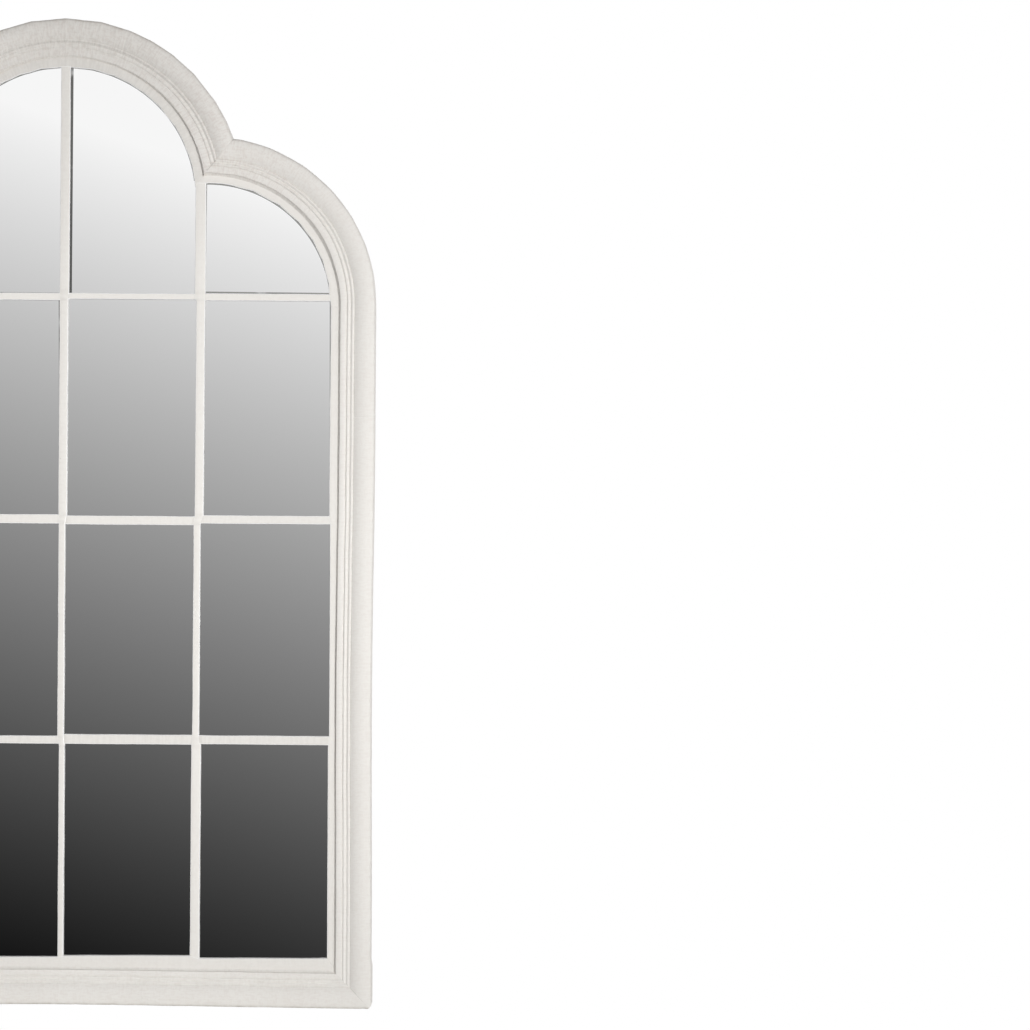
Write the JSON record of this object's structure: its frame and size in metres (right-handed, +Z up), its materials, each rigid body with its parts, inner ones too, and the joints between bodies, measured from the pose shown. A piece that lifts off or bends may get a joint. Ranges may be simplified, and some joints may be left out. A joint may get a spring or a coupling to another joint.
{
  "type": "window mirror",
  "caption": "Tall wall mirror shaped as a trefoil-headed window, with an off-white moulded wooden frame and glazing bars dividing silvered panes, hung from hinged rings on its back.",
  "frame": {"origin": "on the wall plane behind the mirror, midway between the two hangers, at the height of their ring pins", "axes": "+X to the right as the mirror is faced, +Y back into the wall, +Z up"},
  "size_m": [1.1, 0.0405, 1.744],
  "materials": {
    "painted_wood": "brushed off-white paint, lightly worn",
    "painted_slip": "brushed off-white paint",
    "painted_bar": "brushed off-white paint",
    "mirror_glass": "silvered float glass",
    "dowel_beech": "plain beech",
    "fibreboard": "bare medium-density fibreboard",
    "screw_steel": "zinc plated",
    "hanger_steel": "zinc plated",
    "bumper_rubber": "matt black"
  },
  "bodies": {
    "frame": {"bottom_rail": "painted_wood", "left_stile": "painted_wood", "right_stile": "painted_wood", "left_lower_arch": "painted_wood", "right_lower_arch": "painted_wood", "left_upper_arch": "painted_wood", "right_upper_arch": "painted_wood", "left_crown_segment": "painted_wood", "right_crown_segment": "painted_wood", "crown_top_segment": "painted_wood", "bottom_slip": "painted_slip", "left_slip": "painted_slip", "right_slip": "painted_slip", "left_shoulder_slip": "painted_slip", "right_shoulder_slip": "painted_slip", "crown_slip": "painted_slip", "left_vertical_bar": "painted_bar", "centre_vertical_bar": "painted_bar", "right_vertical_bar": "painted_bar", "upper_cross_bar": "painted_bar", "middle_cross_bar": "painted_bar", "lower_cross_bar": "painted_bar", "head_pane_1": "mirror_glass", "head_pane_2": "mirror_glass", "head_pane_3": "mirror_glass", "head_pane_4": "mirror_glass", "upper_pane_1": "mirror_glass", "upper_pane_2": "mirror_glass", "upper_pane_3": "mirror_glass", "upper_pane_4": "mirror_glass", "middle_pane_1": "mirror_glass", "middle_pane_2": "mirror_glass", "middle_pane_3": "mirror_glass", "middle_pane_4": "mirror_glass", "lower_pane_1": "mirror_glass", "lower_pane_2": "mirror_glass", "lower_pane_3": "mirror_glass", "lower_pane_4": "mirror_glass", "frame_dowels": "dowel_beech", "back_board": "fibreboard", "back_board_screws": "screw_steel", "hanger_screws": "screw_steel", "left_hanger_strap": "hanger_steel", "left_bumper": "bumper_rubber", "right_hanger_strap": "hanger_steel", "right_bumper": "bumper_rubber"},
    "left_ring": {"left_hanger_ring": "hanger_steel"},
    "right_ring": {"right_hanger_ring": "hanger_steel"}
  },
  "joints": [
    {"name": "left_ring_swing", "type": "hinge", "parent": "frame", "child": "left_ring", "pos_m": [-0.522, -0.004, 0], "axis": [1, 0, 0], "range_deg": [0, 180]},
    {"name": "right_ring_swing", "type": "hinge", "parent": "frame", "child": "right_ring", "pos_m": [0.522, -0.004, 0], "axis": [1, 0, 0], "range_deg": [0, 180]}
  ]
}
